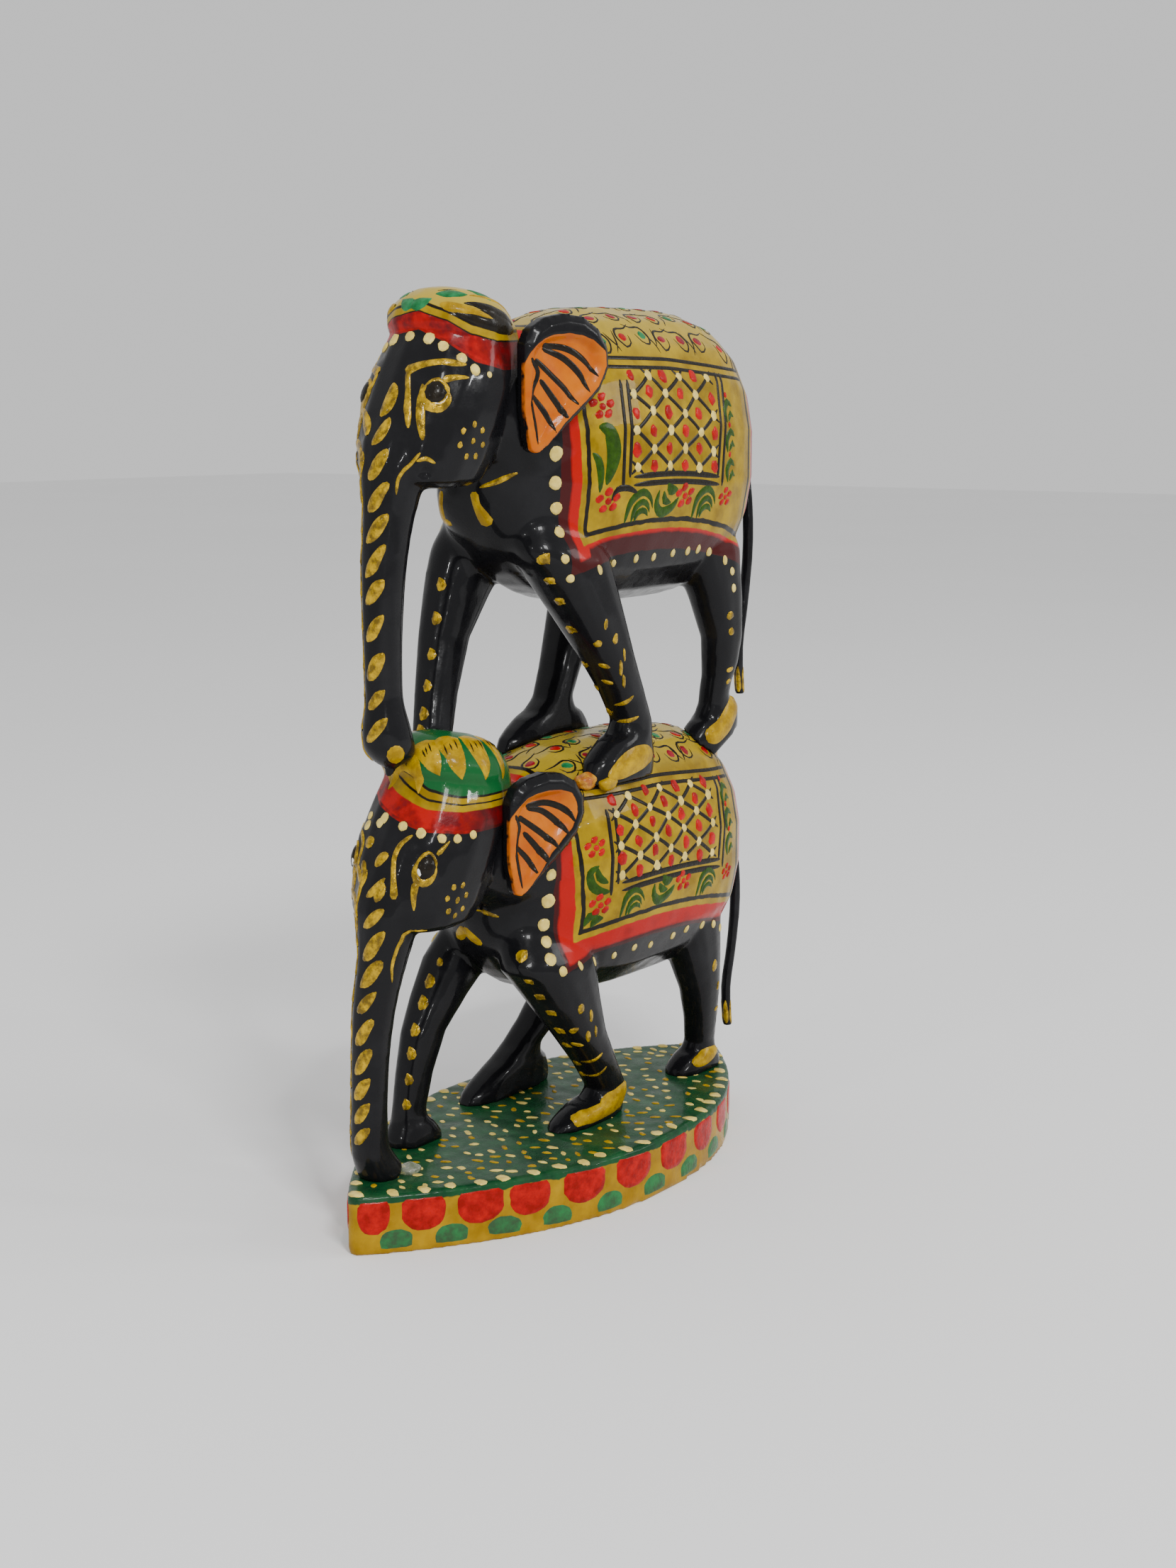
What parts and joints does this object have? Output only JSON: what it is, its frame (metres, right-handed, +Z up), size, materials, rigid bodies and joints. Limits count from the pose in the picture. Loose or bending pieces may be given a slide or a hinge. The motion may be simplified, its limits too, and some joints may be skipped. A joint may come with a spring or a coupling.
{
  "type": "stacked elephant figurine",
  "caption": "Painted wooden figurine of one elephant standing on the back of another, on a boat-shaped plinth.",
  "frame": {"origin": "middle of the plinth's flat underside", "axes": "+Z up, the plinth's length and both elephants' bodies along X with the heads towards -X, the left flanks face -Y"},
  "size_m": [0.105, 0.0486, 0.1536],
  "materials": {
    "black_lacquer": "gloss lacquer over painted softwood",
    "plinth_paint": "gloss enamel over softwood",
    "ear_paint": "gloss enamel over softwood",
    "bare_wood": "plain"
  },
  "bodies": {
    "root": {"plinth": "plinth_paint", "lower_elephant": "black_lacquer", "upper_elephant": "black_lacquer", "lower_left_ear": "ear_paint", "lower_right_ear": "ear_paint", "upper_left_ear": "ear_paint", "upper_right_ear": "ear_paint", "lower_tail": "black_lacquer", "upper_tail": "black_lacquer", "plinth_foot_pegs": "bare_wood", "plinth_trunk_peg": "bare_wood", "back_foot_pegs": "bare_wood"}
  },
  "joints": []
}
